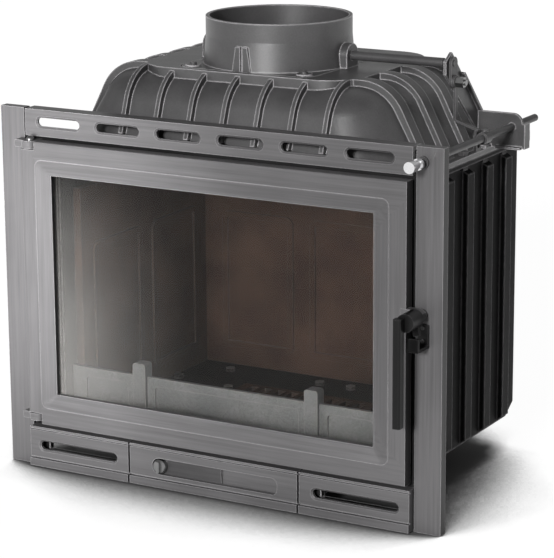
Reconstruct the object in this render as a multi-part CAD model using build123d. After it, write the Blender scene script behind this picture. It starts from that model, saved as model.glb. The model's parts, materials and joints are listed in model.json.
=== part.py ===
from build123d import *
from math import atan, cos, degrees, hypot, radians, sin, tan
import os

# A cast iron fireplace insert: ribbed firebox body, domed hood with a round flue collar and
# its damper, a glazed door with a turning handle, an ash drawer and an air slider.
# Millimetres. X runs to the viewer's right, Y goes back into the chimney breast from the
# surround's front face, and Z is the height above the hearth.

# Surround
surround_width = 670
surround_height = 508
strip_width = 38
strip_depth = 14
surround_wall = 5
trim_screw_inset = 16
trim_screw_low = 34
trim_screw_drop = 14
seam = 1.5
screw_bite = 3

# Top grille bar
bar_drop = 1
bar_height = 37
bar_shelf = 23
bar_right_gap = 5
slot_count = 6
slot_bridge = 22.2
slot_left_margin = 17.1
slot_right_margin = 25
slot_height = 17
slot_rise = 1
slot_bevel = 2.5
slot_bevel_depth = 2

# Lower grilles and drawer front
panel_top = 58.5
panel_proud = 11
panel_wall = 6
panel_split = 132
panel_seam = 3
lip_height = 11
lip_proud = 2
lip_lift = 1.5
top_lip = 3
top_groove = 1.5
groove_height = 2
groove_depth = 3
shelf_wall = 4
lower_slot_margin = 15.5
lower_slot_shift = 1.5
lower_slot_level = 32
window_margin = 8
lower_screw_drop = 7
lower_screw_inset = 14
lower_lug = 8

# Front plate behind the surround
plate_wall = 9
plate_lap = 8
seal_land = 6.5
seal_land_side = 10.5
opening_round = 10

# Firebox body
body_step = 39
body_wall = 7
body_back = 398
body_bottom = 48
body_drop = 21
base_wall = 8
rear_wall_thickness = 8
chamfer_run = 25
chamfer_rise = 16
flange_wall = 7
flange_reach = 19
front_flange_reach = 28
front_flange_wall = 8
front_flange_rise = 28
plate_bolt_count = 4
plate_bolt_margin = 15
plate_bolt_bite = 6
foot_reach = 31
foot_back_gap = 60
foot_bolt_inset = 8
foot_bolt_front = 50
foot_bolt_back = 96
rib_width = 20
rib_height = 8.5
rib_first = 44
rib_last_gap = 45
rib_count = 6
rib_top_gap = 12
rib_slant = 5
rib_foot = 6
rear_rib_count = 7
rear_rib_rise = 28
rear_shelf = 14
rear_foot = 50

# Hood
hood_wall = 8
hood_height = 122
hood_rib_height = 9
hood_side_slope = 27.2
hood_front_slope = 19.8
hood_front_gap = 3
hood_back_gap = 13
hood_side_gap = 1
hood_valley_drop = 9
hood_side_round = 66
hood_front_round = 62
hood_corner = 85
hood_corner_top = 68
plateau_half = 165
plateau_land = 10.5
plateau_back_gap = 64
plateau_corner = 55
fin_count = 7
fin_pitch = 50.8
fin_wall = 6.5
fin_height = 8.5
fin_clear = 3.4
fin_reach = 104
rib_bury = 60

# Flue collar
collar_y = 181.5
collar_radius = 99.5
collar_wall = 5
collar_height = 64
collar_spigot = 25
collar_flare = 3.5
collar_flange_land = 3.5
collar_flange_wall = 6
collar_flange_corner = 24
collar_flange_gap = 1.5
collar_screw_inset = 18
collar_screw_bite = 7
collar_boss_radius = 11
collar_boss_height = 2
lug_bottom = 29
lug_top = 18
lug_height = 33
lug_proud = 4
lug_groove = 3
bearing_boss_half = 16
bearing_boss_proud = 12.5

# Damper
shaft_radius = 6.25
shaft_drop = 48
shaft_end_play = 4
neck_radius = 4.5
neck_rivet = 1.2
shoulder_gap = 8
running_gap = 0.05
flap_gap = 3.5
flap_wall = 4
flap_hub_radius = 10
flap_hub_half = 80
rod_inset = 9.7
rod_radius = 5
rod_front = -28
rod_tail = 73
bush_head = 3.5
bush_head_radius = 8
bush_body_radius = 7
knob_radius = 7.5
knob_length = 13
knob_neck_radius = 5.8
ring_setback = 11
ring_wall = 4
push_travel = 9
pull_travel = 45
rad_per_mm = 0.01
crank_gap = 5.5
crank_wall = 4
crank_radius = 9
lever_eye_drop = 24
lever_wall = 3.5
lever_width = 7
lever_tab_width = 15
lever_tab_edge = 4
lever_bend_rise = 19.5
lever_shoulder_rise = 8.5
lever_gap = 0.5
pin_radius = 3
slot_play = 1.2
clamp_radius = 8
clamp_half = 8
lever_bolt_radius = 4
nut_flats = 13
nut_height = 5.5

# Damper bracket
gusset_inset = 3
gusset_wall = 4
gusset_eye = 14
gusset_tip = 3.5
gusset_lip = 6
gusset_lip_wall = 3
leaf_setback = 11.7
leaf_wall = 4
leaf_reach = 15.3
leaf_rise = 18.5
leaf_drop = 32
leaf_rim = 12
leaf_corner = 14
leaf_lip = 8
leaf_lip_wall = 3
bracket_foot = 4
bracket_foot_front = 9

# Door
door_gap = 4
door_sill_gap = 7.5
door_front = -20
door_back = -3
door_edge_round = 6
edge_round = 1.5
bezel_outer = 26
bezel_side = 22
bezel_end = 19.5
bezel_depth = 4.5
bezel_land = 3
bezel_bead = 1
bezel_crest = 1.5
bezel_corner = 9
glass_wall = 4
glass_lap = 11
glass_seal = 1.2
glass_gap = 1.5
glass_ring_gap = 1
gasket_inset = 23
gasket_width = 9
gasket_groove = 6
seal_gap = 0.3
retainer_wall = 1.5
retainer_lap = 4
retainer_land = 4.5
retainer_screw_bite = 5
small_screw_radius = 1.5
small_head_radius = 2.5
small_head_height = 1.5

# Hinges and latch
hinge_inset = 11
hinge_y = -9
hinge_knuckle = 10.5
hinge_height = 10.5
hinge_low_rise = 4
hinge_round = 9
hinge_clearance = 1.2
hinge_notch = 12.5
hinge_screw_bite = 7
hinge_pin_radius = 3.5
hinge_collar = 3
pin_depth = 22
ear_reach = 13
ear_rise = 26
ear_radius = 10
ear_front = -19.2
ear_back = -6
spindle_radius = 5
spindle_tail = 4.5
hub_radius = 12
grip_inset = 5.5
grip_width = 11
grip_depth = 14
grip_front = -62
grip_drop = 135.5
grip_rise = 7
grip_round = 3
grip_screw_bite = 10
grip_screw_depth = 9
finger_reach = 22
finger_width = 9
finger_wall = 5
finger_setback = 2
finger_angle = -75
keeper_inset = 4
keeper_width = 15
keeper_drop = 42
keeper_rise = 12
keeper_front = -32
keeper_wall = 4
keeper_gap = 1.5

# Ash chamber, drawer and air slider
ash_gap = 6
ash_back_gap = 98
ash_wall = 6
ash_flange = 14
ash_bolt_front = 75
ash_bolt_back = 40
pan_wall = 2
pan_gap = 3
pan_end_gap = 8
pan_drop = 6
slide_gap = 0.3
track_left = -94.5
track_right = 100
track_height = 23
track_level = 31.6
track_corner = 8
inlet_wall = 2.5
inlet_hole_count = 2
inlet_hole_length = 24
inlet_hole_gap = 6
inlet_hole_height = 15
inlet_margin = 5
slider_wall = 2.8
slider_lap = 2.5
slider_end_lap = 6
slider_right = 11
slider_knob_radius = 10
slider_knob_proud = 2.5
slider_ridge = 4
slider_ridge_width = 5

# Firebox furniture
lining_wall = 12
lining_front = 46
relief_height = 3
relief_margin = 28
relief_band = 9
relief_round = 12
baffle_play = 0.5
baffle_wall = 10
baffle_front = 150
baffle_drop = 53
baffle_fall = 54
grate_half = 110
grate_front = 112
grate_length = 160
grate_wall = 9
grate_bar = 10
grate_gap = 12
grate_ledge = 6
guard_gap = 5
guard_y = 28
guard_wall = 6
guard_height = 80
guard_recess = 3
guard_border = 12
post_x = 134
post_width = 20
post_proud = 6
post_rise = 19
guard_foot = 40
guard_foot_wall = 10

# Fasteners
bolt_radius = 4
bolt_head_flats = 13
bolt_head_height = 5
bolt_tail = 8
screw_radius = 2.5
screw_head_radius = 4.6
screw_head_height = 3

# Places worked out from the sizes above
strip_outer = surround_width / 2
strip_inner = strip_outer - strip_width
bar_top = surround_height - bar_drop
bar_bottom = bar_top - bar_height
door_half = strip_inner - door_gap
door_bottom = panel_top + door_sill_gap
door_top = bar_bottom - door_gap
plate_front = surround_wall
plate_back = plate_front + plate_wall
plate_top = bar_bottom + plate_lap
gasket_outer = gasket_inset - gasket_width / 2
gasket_inner = gasket_inset + gasket_width / 2
opening_half = door_half - gasket_inner - seal_land_side
opening_bottom = door_bottom + gasket_inner + seal_land
opening_top = door_top - gasket_inner - seal_land
body_half = strip_inner - body_step
body_top = door_top - body_drop
base_low = body_bottom + flange_wall
base_top = base_low + base_wall
flange_top = body_top + 2 * flange_wall
flange_half = body_half + flange_reach
front_flange_half = body_half + front_flange_reach
front_flange_low = door_bottom + front_flange_rise
wall_inner = body_half - body_wall
rib_top = body_top - rib_top_gap
rib_pitch = (body_back - rib_last_gap - rib_first) / (rib_count - 1)
rib_centres = [rib_first + k * rib_pitch for k in range(rib_count)]
valley_centres = [y + rib_pitch / 2 for y in rib_centres[:-1]]
hood_top = body_top + hood_height
hood_valley_top = hood_top - hood_valley_drop
side_run = tan(radians(hood_side_slope))
front_run = tan(radians(hood_front_slope))
hood_front = plate_back + hood_front_gap
hood_back = body_back - hood_back_gap
hood_half = body_half - hood_side_gap
plateau_back = body_back - plateau_back_gap
collar_hole = collar_radius - collar_wall
collar_flange_half = collar_radius + collar_flange_land
collar_screw_offset = collar_flange_half - collar_screw_inset
collar_top = hood_top + collar_height
plateau_front = collar_y - collar_flange_half - plateau_land
bearing_boss_reach = collar_radius + bearing_boss_proud
flap_radius = collar_hole - flap_gap
shaft_z = collar_top - shaft_drop
rod_x = strip_inner + rod_inset
rod_z = (bar_bottom + bar_top) / 2
bracket_bolt_y = valley_centres[rib_count // 2]
leaf_y = bracket_bolt_y + leaf_setback
leaf_right = rod_x + leaf_reach
leaf_top = rod_z + leaf_rise
gusset_x = body_half - gusset_inset
crank_x = gusset_x + crank_gap
lever_tab_x = rod_x - clamp_radius - lever_gap - lever_wall
lever_eye_z = shaft_z - lever_eye_drop
lever_bend_z = rod_z + lever_bend_rise
lever_shoulder_z = rod_z + lever_shoulder_rise
hinge_x = door_half - hinge_inset
ear_x = door_half + ear_reach
ear_z = (door_bottom + door_top) / 2 + ear_rise
glass_half = door_half - bezel_outer - bezel_side
glass_low = door_bottom + bezel_outer + bezel_end
glass_high = door_top - bezel_outer - bezel_end
ash_half = panel_split - ash_gap
ash_back = body_back - ash_back_gap
baffle_high = body_top - baffle_drop
baffle_low = baffle_high - baffle_fall
grate_back = grate_front + grate_length
guard_half = wall_inner - guard_gap
guard_top = base_top + guard_height
post_top = guard_top + post_rise


def outline(*points):
    """A flat face through the points, in its own two axes."""
    return make_face(Polyline(*points, close=True))


def across_x(x):
    return Plane(origin=(x, 0, 0), x_dir=(0, 1, 0), z_dir=(1, 0, 0))


def across_y(y):
    return Plane(origin=(0, y, 0), x_dir=(1, 0, 0), z_dir=(0, -1, 0))


def slab_x(face, low, high):
    """The face, drawn in Y and Z, made solid between two values of X."""
    return extrude(across_x(low) * face, amount=high - low)


def slab_y(face, low, high):
    """The face, drawn in X and Z, made solid between two values of Y."""
    return extrude(across_y(high) * face, amount=high - low)


def slab_z(face, low, high):
    """The face, drawn in X and Y, made solid between two values of Z."""
    return extrude(Pos(0, 0, low) * face, amount=high - low)


def block(x, y, z):
    """A box between pairs of limits."""
    size = (x[1] - x[0], y[1] - y[0], z[1] - z[0])
    return Pos(x[0], y[0], z[0]) * Box(*size, align=(Align.MIN, Align.MIN, Align.MIN))


def pin_x(x, y, z, radius):
    """A round bar along X between the two values in x."""
    bar = Cylinder(radius, x[1] - x[0], align=(Align.CENTER, Align.CENTER, Align.MIN))
    return Plane(origin=(x[0], y, z), z_dir=(1, 0, 0)) * bar


def pin_y(x, y, z, radius):
    """A round bar along Y between the two values in y."""
    bar = Cylinder(radius, y[1] - y[0], align=(Align.CENTER, Align.CENTER, Align.MIN))
    return Plane(origin=(x, y[0], z), z_dir=(0, 1, 0)) * bar


def pin_z(x, y, z, radius):
    """A round bar along Z between the two values in z."""
    bar = Cylinder(radius, z[1] - z[0], align=(Align.CENTER, Align.CENTER, Align.MIN))
    return Pos(x, y, z[0]) * bar


def hexagon(flats):
    return RegularPolygon(flats / 2, 6, major_radius=False)


def rectangle(x, z):
    """A flat rectangle between pairs of limits."""
    return Pos((x[0] + x[1]) / 2, (z[0] + z[1]) / 2) * Rectangle(x[1] - x[0], z[1] - z[0])


def slot_cut(x, z, length, height, front, back):
    """A round-ended slot through a plate, with a bevelled edge on its front face."""
    wide = Pos(x, z) * SlotOverall(length, height)
    narrow = Pos(x, z) * SlotOverall(length - 2 * slot_bevel, height - 2 * slot_bevel)
    floor = front + slot_bevel_depth
    bevel = loft([across_y(front - 0.01) * wide, across_y(floor) * narrow])
    return slab_y(narrow, floor - 0.01, back + 1) + bevel


def mirrored(solid):
    return solid.mirror(Plane.YZ)


def bolt_z(x, y, seat, length):
    """A hexagon bolt whose head sits on the level seat, with its shank going down."""
    head = slab_z(Pos(x, y) * hexagon(bolt_head_flats), seat, seat + bolt_head_height)
    return head + pin_z(x, y, (seat - length, seat), bolt_radius)


def bolt_y(x, z, seat, length):
    """A hexagon bolt whose head sits behind the depth seat, with its shank going forward."""
    head = slab_y(Pos(x, z) * hexagon(bolt_head_flats), seat, seat + bolt_head_height)
    return head + pin_y(x, (seat - length, seat), z, bolt_radius)


def screw_y(x, z, seat, length):
    """A round-headed screw put in from behind."""
    head = pin_y(x, (seat, seat + screw_head_height), z, screw_head_radius)
    return head + pin_y(x, (seat - length, seat), z, screw_radius)


# Surround: two side strips, the slotted top bar and the two lower grilles
trim_screw_x = strip_inner + trim_screw_inset
trim_screw_levels = [trim_screw_low, (surround_height - trim_screw_low) / 2, bar_bottom - trim_screw_drop]
strip_face = rectangle((strip_inner, strip_outer), (0, surround_height))
right_trim = slab_y(strip_face, 0, surround_wall)
right_trim += block((strip_outer - surround_wall, strip_outer), (0, strip_depth), (0, surround_height))
right_trim += block(
    (strip_inner, strip_outer), (0, strip_depth), (surround_height - surround_wall, surround_height)
)
for z in trim_screw_levels:
    right_trim -= pin_y(trim_screw_x, (surround_wall - screw_bite, surround_wall + 1), z, screw_radius)
left_trim = mirrored(right_trim)

rod_bush = pin_y(rod_x, (-bush_head, 0), rod_z, bush_head_radius)
rod_bush += pin_y(rod_x, (0, surround_wall), rod_z, bush_body_radius)
rod_bush -= pin_y(rod_x, (-bush_head - 1, surround_wall + 1), rod_z, rod_radius + running_gap)
right_trim -= pin_y(rod_x, (-1, surround_wall + 1), rod_z, bush_body_radius)

bar_left = -(strip_inner - seam)
bar_right = strip_inner - bar_right_gap
bar_screw_level = (bar_bottom + plate_top) / 2
bar_screw_places = [-0.68 * bar_right, 0, 0.68 * bar_right]
slot_span = bar_right - bar_left - slot_left_margin - slot_right_margin
slot_length = (slot_span - (slot_count - 1) * slot_bridge) / slot_count
slot_level = rod_z + slot_rise
top_grille = block((bar_left, bar_right), (0, surround_wall), (bar_bottom, bar_top))
top_grille += block((bar_left, bar_right), (0, bar_shelf), (bar_top - surround_wall, bar_top))
for k in range(slot_count):
    x = bar_left + slot_left_margin + slot_length / 2 + k * (slot_length + slot_bridge)
    top_grille -= slot_cut(x, slot_level, slot_length, slot_height, 0, surround_wall)
for x in bar_screw_places:
    top_grille -= pin_y(x, (surround_wall - screw_bite, surround_wall + 1), bar_screw_level, screw_radius)

panel_front = -panel_proud
panel_back = panel_front + panel_wall
groove_top = lip_lift + lip_height + groove_height


def lower_profile(back):
    """Side view of a lower panel: lip, groove, front wall and the shelf along its top."""
    return outline(
        (back, panel_top),
        (panel_front, panel_top),
        (panel_front, panel_top - top_lip),
        (panel_front + groove_depth, panel_top - top_lip),
        (panel_front + groove_depth, panel_top - top_lip - top_groove),
        (panel_front, panel_top - top_lip - top_groove),
        (panel_front, groove_top),
        (panel_front + groove_depth, groove_top),
        (panel_front + groove_depth, groove_top - groove_height),
        (panel_front - lip_proud, groove_top - groove_height),
        (panel_front - lip_proud, lip_lift),
        (panel_back, lip_lift),
        (panel_back, panel_top - shelf_wall),
        (back, panel_top - shelf_wall),
    )


lower_inner = panel_split + panel_seam / 2
lower_outer = strip_inner - seam
lower_slot_length = lower_outer - lower_inner - 2 * lower_slot_margin
lower_slot_centre = (lower_inner + lower_outer) / 2 + lower_slot_shift
lower_screw_level = panel_top - shelf_wall - lower_screw_drop
lower_screw_places = [lower_inner + lower_screw_inset, lower_outer - lower_screw_inset]
lower_right_grille = slab_x(lower_profile(plate_front), lower_inner, lower_outer)
for x in (lower_inner, lower_outer - shelf_wall):
    lower_right_grille += block((x, x + shelf_wall), (panel_back, plate_front), (lip_lift, panel_top))
for x in lower_screw_places:
    lug_levels = (lower_screw_level - lower_lug, panel_top - shelf_wall)
    lower_right_grille += block((x - lower_lug, x + lower_lug), (panel_back, plate_front), lug_levels)
    lower_right_grille -= pin_y(
        x, (plate_front - screw_bite, plate_front + 1), lower_screw_level, screw_radius
    )
lower_right_grille -= slot_cut(
    lower_slot_centre, lower_slot_level, lower_slot_length, slot_height, panel_front, panel_back
)
lower_left_grille = mirrored(lower_right_grille)

# Front plate, which carries the surround, the hinges and the firebox body
plate_half = strip_outer - surround_wall
plate_bolt_x = body_half + (front_flange_half - body_half) / 2
plate_bolt_low = front_flange_low + plate_bolt_margin
plate_bolt_step = (rib_top - plate_bolt_margin - plate_bolt_low) / (plate_bolt_count - 1)
plate_bolt_levels = [plate_bolt_low + k * plate_bolt_step for k in range(plate_bolt_count)]
ash_inner = ash_half - ash_wall
window_half = lower_slot_length / 2 - window_margin
window_levels = (lower_slot_level - window_margin - 2, lower_slot_level + window_margin + 2)
fire_face = rectangle((-opening_half, opening_half), (opening_bottom, opening_top))
fire_face = fillet(fire_face.vertices(), opening_round)
front_plate = block((-plate_half, plate_half), (plate_front, plate_back), (0, plate_top))
front_plate -= slab_y(fire_face, plate_front - 1, plate_back + 1)
front_plate -= block((-ash_inner, ash_inner), (plate_front - 1, plate_back + 1), (ash_wall, base_low))
for side in (-1, 1):
    window = rectangle(
        (side * lower_slot_centre - window_half, side * lower_slot_centre + window_half),
        window_levels,
    )
    front_plate -= slab_y(window, plate_front - 1, plate_back + 1)
    for z in trim_screw_levels:
        front_plate -= pin_y(side * trim_screw_x, (plate_front - 1, plate_back + 1), z, screw_radius)
    for z in plate_bolt_levels:
        front_plate -= pin_y(
            side * plate_bolt_x, (plate_back - plate_bolt_bite, plate_back + 1), z, bolt_radius
        )
    for x in lower_screw_places:
        front_plate -= pin_y(side * x, (plate_front - 1, plate_back + 1), lower_screw_level, screw_radius)
for x in bar_screw_places:
    front_plate -= pin_y(x, (plate_front - 1, plate_back + 1), bar_screw_level, screw_radius)

surround_screws = []
for side in (-1, 1):
    for z in trim_screw_levels:
        surround_screws.append(screw_y(side * trim_screw_x, z, plate_back, plate_wall + screw_bite))
    for x in lower_screw_places:
        surround_screws.append(screw_y(side * x, lower_screw_level, plate_back, plate_wall + screw_bite))
for x in bar_screw_places:
    surround_screws.append(screw_y(x, bar_screw_level, plate_back, plate_wall + screw_bite))

# Firebox body: ribbed side walls, rear wall and floor
slant = chamfer_rise / chamfer_run
chamfer_start = body_back - chamfer_run
rear_inner = body_back - rear_wall_thickness
chamfer_normal = rear_wall_thickness / cos(atan(slant))


def slant_level(y):
    """Height of the inner face of the slanted foot of the rear wall."""
    return body_bottom + (y - chamfer_start) * slant + chamfer_normal


body_side = outline(
    (plate_back, body_bottom),
    (chamfer_start, body_bottom),
    (body_back, body_bottom + chamfer_rise),
    (body_back, body_top + flange_wall),
    (plate_back, body_top + flange_wall),
)
foot_bolt_x = wall_inner - foot_reach + foot_bolt_inset
foot_bolt_places = [
    plate_back + foot_bolt_front, (plate_back + chamfer_start) / 2, chamfer_start - foot_bolt_back
]
right_side_wall = slab_x(body_side, wall_inner, body_half)
right_side_wall += block(
    (wall_inner, flange_half), (plate_back, body_back), (body_top, body_top + flange_wall)
)
right_side_wall += block(
    (wall_inner, front_flange_half),
    (plate_back, plate_back + front_flange_wall),
    (front_flange_low, body_top),
)
right_side_wall += block(
    (wall_inner - foot_reach, wall_inner),
    (plate_back, chamfer_start - foot_back_gap),
    (body_bottom, base_low),
)
rib_side = outline(
    (body_half, body_bottom + 2),
    (body_half + rib_height, body_bottom + 2 + rib_foot),
    (body_half + rib_height, rib_top - rib_slant),
    (body_half, rib_top),
)
for y in rib_centres:
    right_side_wall += slab_y(rib_side, y - rib_width / 2, y + rib_width / 2)
hood_bolt_x = (hood_half + flange_half) / 2 + 1
for y in valley_centres:
    right_side_wall -= pin_z(hood_bolt_x, y, (body_top - 1, flange_top), bolt_radius)
for z in plate_bolt_levels:
    right_side_wall -= pin_y(plate_bolt_x, (plate_back - 1, plate_back + 20), z, bolt_radius)
for y in foot_bolt_places:
    right_side_wall -= pin_z(foot_bolt_x, y, (body_bottom - 1, base_top), bolt_radius)
left_side_wall = mirrored(right_side_wall)

rear_profile = outline(
    (chamfer_start, body_bottom),
    (body_back, body_bottom + chamfer_rise),
    (body_back, body_top + flange_wall),
    (rear_inner - rear_shelf, body_top + flange_wall),
    (rear_inner - rear_shelf, body_top),
    (rear_inner, body_top),
    (rear_inner, slant_level(rear_inner)),
    (chamfer_start + (base_low - body_bottom - chamfer_normal) / slant, base_low),
    (chamfer_start - rear_foot, base_low),
    (chamfer_start - rear_foot, body_bottom),
)
rear_bolt_y = (hood_back + body_back) / 2
rear_bolt_places = [-3.5 * fin_pitch, -0.5 * fin_pitch, 0.5 * fin_pitch, 3.5 * fin_pitch]
rear_foot_y = chamfer_start - 0.6 * rear_foot
rear_rib_low = body_bottom + rear_rib_rise
rear_wall = slab_x(rear_profile, -wall_inner, wall_inner)
for k in range(rear_rib_count):
    x = (k - (rear_rib_count - 1) / 2) * rib_pitch
    rib = block(
        (x - rib_width / 2, x + rib_width / 2), (body_back, body_back + rib_height), (rear_rib_low, rib_top)
    )
    rear_wall += rib
for x in rear_bolt_places:
    rear_wall -= pin_z(x, rear_bolt_y, (body_top - 12, flange_top), bolt_radius)
    rear_wall -= pin_z(x, rear_foot_y, (body_bottom - 1, base_top), bolt_radius)

base_rear_low = chamfer_start + (base_low - body_bottom - chamfer_normal) / slant
base_rear_high = chamfer_start + (base_top - body_bottom - chamfer_normal) / slant
base_profile = outline(
    (plate_back, base_low), (base_rear_low, base_low), (base_rear_high, base_top), (plate_back, base_top)
)
ash_bolt_x = ash_half + ash_flange / 2
ash_bolt_places = [plate_back + ash_bolt_front, ash_back - ash_bolt_back]
base_plate = slab_x(base_profile, -wall_inner, wall_inner)
base_plate -= block(
    (-grate_half + grate_ledge, grate_half - grate_ledge),
    (grate_front + grate_ledge, grate_back - grate_ledge),
    (base_low - 1, base_top + 1),
)
for side in (-1, 1):
    for y in foot_bolt_places:
        base_plate -= pin_z(side * foot_bolt_x, y, (base_low - 1, base_top + 1), bolt_radius)
    for y in ash_bolt_places:
        base_plate -= pin_z(side * ash_bolt_x, y, (base_low - 1, base_top + 1), bolt_radius)
for x in rear_bolt_places:
    base_plate -= pin_z(x, rear_foot_y, (base_low - 1, base_top + 1), bolt_radius)

# Ash chamber under the grate
ash_chamber = block((-ash_half, ash_half), (plate_back, ash_back), (0, base_low))
ash_chamber += block(
    (-ash_half - ash_flange, ash_half + ash_flange), (plate_back, ash_back), (base_low - ash_wall, base_low)
)
ash_chamber -= block((-ash_inner, ash_inner), (plate_back - 1, ash_back - ash_wall), (ash_wall, base_low + 1))
for side in (-1, 1):
    for y in ash_bolt_places:
        ash_chamber -= pin_z(side * ash_bolt_x, y, (base_low - ash_wall - 1, base_top), bolt_radius)

floor_bolts = []
for side in (-1, 1):
    for y in foot_bolt_places:
        floor_bolts.append(bolt_z(side * foot_bolt_x, y, base_top, base_top - body_bottom + bolt_tail))
    for y in ash_bolt_places:
        floor_bolts.append(bolt_z(side * ash_bolt_x, y, base_top, base_top - body_bottom + bolt_tail))
for x in rear_bolt_places:
    floor_bolts.append(bolt_z(x, rear_foot_y, base_top, base_top - body_bottom + bolt_tail))
plate_bolts = []
for side in (-1, 1):
    for z in plate_bolt_levels:
        seat = plate_back + front_flange_wall
        plate_bolts.append(bolt_y(side * plate_bolt_x, z, seat, front_flange_wall + plate_bolt_bite))

# Hood: a tapering shell with fins on its front, ribs on its other sides and a raised plateau
hood_base = body_top + flange_wall
fit_round = hood_front_round - hood_valley_drop


def hood_solid(low, high, inset, rounding):
    """A rounded pyramid that follows the hood's walls, set in by inset."""
    sections = []
    for level in (low, high):
        rise = level - flange_top
        half = hood_half - side_run * rise - inset
        front = hood_front + front_run * rise + inset
        back = hood_back - front_run * rise - inset
        share = rise / (hood_valley_top - flange_top)
        corner = hood_corner + (hood_corner_top - hood_corner) * share - inset
        place = Pos(0, (front + back) / 2, level)
        sections.append(place * RectangleRounded(2 * half, back - front, corner))
    solid = loft(sections, ruled=True)
    return fillet(solid.faces().sort_by(Axis.Z)[-1].edges(), rounding)


def crest_profile(low, reach_low, run, rounding, end):
    """Half outline of a rib: out at the foot, up the slope, round the shoulder and level to the end."""
    slope_length = (hood_top - low) * hypot(1, run)
    turn_half = (radians(90) - atan(abs(run))) / 2
    rounding = min(rounding, 0.9 * slope_length / tan(turn_half))
    high_reach = reach_low + run * (hood_top - low)
    line = Polyline((end, low), (reach_low, low), (high_reach, hood_top), (end, hood_top), close=True)
    face = make_face(line)
    shoulder = face.vertices().sort_by(Axis.Y)[-2:].sort_by(Axis.X)
    shoulder = shoulder[-1] if reach_low > end else shoulder[0]
    return fillet(shoulder, rounding)


hood_inset = hood_wall / cos(radians(hood_side_slope))
hood = hood_solid(flange_top, hood_valley_top, 0, fit_round)
hood_rib_foot = hood_half + hood_rib_height
crest_inner = plateau_half - rib_bury
side_crest = crest_profile(flange_top, hood_rib_foot, -side_run, hood_side_round, crest_inner)
back_foot = hood_back + hood_rib_height
back_crest = crest_profile(flange_top, back_foot, -front_run, hood_front_round, plateau_back - rib_bury / 2)
fin_foot = bar_screw_level + screw_head_radius + fin_clear
front_foot = hood_front + front_run * (fin_foot - flange_top) - fin_height / cos(atan(front_run))
front_crest = crest_profile(fin_foot, front_foot, front_run, hood_front_round, fin_reach)
for y in rib_centres[1:-1]:
    right_rib = slab_y(side_crest, y - rib_width / 2, y + rib_width / 2)
    hood += [right_rib, mirrored(right_rib)]
for k in range(fin_count):
    x = (k - (fin_count - 1) / 2) * fin_pitch
    hood += slab_x(front_crest, x - fin_wall / 2, x + fin_wall / 2)
for k in range(fin_count - 2):
    x = (k - (fin_count - 3) / 2) * fin_pitch
    hood += slab_x(back_crest, x - rib_width / 2, x + rib_width / 2)
plateau_middle = Pos(0, (plateau_front + plateau_back) / 2)
plateau_face = plateau_middle * RectangleRounded(
    2 * plateau_half, plateau_back - plateau_front, plateau_corner
)
hood += slab_z(plateau_face, hood_valley_top - rib_bury, hood_top)
hood += block((-flange_half, flange_half), (plate_back, body_back), (hood_base, flange_top))
hood -= hood_solid(hood_base - 1, hood_valley_top - hood_wall, hood_inset, fit_round - hood_wall)
recess_half = collar_flange_half + collar_flange_gap
recess_corner = collar_flange_corner + collar_flange_gap
recess_floor = hood_top - collar_flange_wall
recess_face = Pos(0, collar_y) * RectangleRounded(2 * recess_half, 2 * recess_half, recess_corner)
hood -= slab_z(recess_face, recess_floor, hood_top + 1)
hood -= pin_z(0, collar_y, (hood_valley_top - 2 * rib_bury, hood_top + 1), collar_hole)
collar_screw_places = [
    (i * collar_screw_offset, collar_y + j * collar_screw_offset) for i in (-1, 1) for j in (-1, 1)
]
for x, y in collar_screw_places:
    hood -= pin_z(x, y, (recess_floor - collar_screw_bite, hood_top), screw_radius)
for y in valley_centres:
    for side in (-1, 1):
        hood -= pin_z(side * hood_bolt_x, y, (hood_base - 1, flange_top + 1), bolt_radius)
for x in rear_bolt_places:
    hood -= pin_z(x, rear_bolt_y, (hood_base - 1, flange_top + 1), bolt_radius)

# Flue collar, its flange, its front lug and the two bosses that hold the damper's shaft
spigot_foot = collar_top - collar_spigot
collar_profile = outline(
    (collar_hole, recess_floor),
    (collar_radius + collar_flare, recess_floor),
    (collar_radius + collar_flare, hood_top),
    (collar_radius, spigot_foot),
    (collar_radius, collar_top),
    (collar_hole, collar_top),
)
collar_ring = revolve(Plane.XZ * collar_profile, Axis.Z)
flange_face = Pos(0, collar_y) * RectangleRounded(
    2 * collar_flange_half, 2 * collar_flange_half, collar_flange_corner
)
flue_collar = Pos(0, collar_y, 0) * collar_ring
flue_collar += slab_z(flange_face, recess_floor, hood_top)
lug_face = outline(
    (-lug_bottom / 2, hood_top - 1),
    (lug_bottom / 2, hood_top - 1),
    (lug_top / 2, hood_top + lug_height),
    (-lug_top / 2, hood_top + lug_height),
)
lug_groove_face = rectangle((-lug_groove / 2, lug_groove / 2), (hood_top, hood_top + lug_height + 1))
collar_front = collar_y - collar_radius
flue_collar += slab_y(lug_face, collar_front - lug_proud, collar_y)
flue_collar -= slab_y(lug_groove_face, collar_front - lug_proud - 1, collar_front - lug_proud + lug_groove)
boss_face = Pos(collar_y, shaft_z) * Circle(bearing_boss_half)
boss_face += rectangle((collar_y - bearing_boss_half, collar_y + bearing_boss_half), (hood_top, shaft_z))
flue_collar += slab_x(boss_face, 0, bearing_boss_reach)
flue_collar += slab_x(boss_face, -bearing_boss_reach, 0)
for x, y in collar_screw_places:
    flue_collar += pin_z(x, y, (recess_floor, hood_top + collar_boss_height), collar_boss_radius)
    flue_collar -= pin_z(x, y, (recess_floor - 1, hood_top + 10), screw_radius)
flue_collar -= pin_z(0, collar_y, (recess_floor - 1, collar_top + 1), collar_hole)
bearing_x = (-bearing_boss_reach - 1, bearing_boss_reach + 1)
flue_collar -= pin_x(bearing_x, collar_y, shaft_z, shaft_radius + running_gap)
collar_screws = []
for x, y in collar_screw_places:
    seat = hood_top + collar_boss_height
    shank = collar_flange_wall + collar_boss_height + collar_screw_bite
    head = pin_z(x, y, (seat, seat + screw_head_height), screw_head_radius)
    collar_screws.append(head + pin_z(x, y, (seat - shank, seat), screw_radius))

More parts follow.
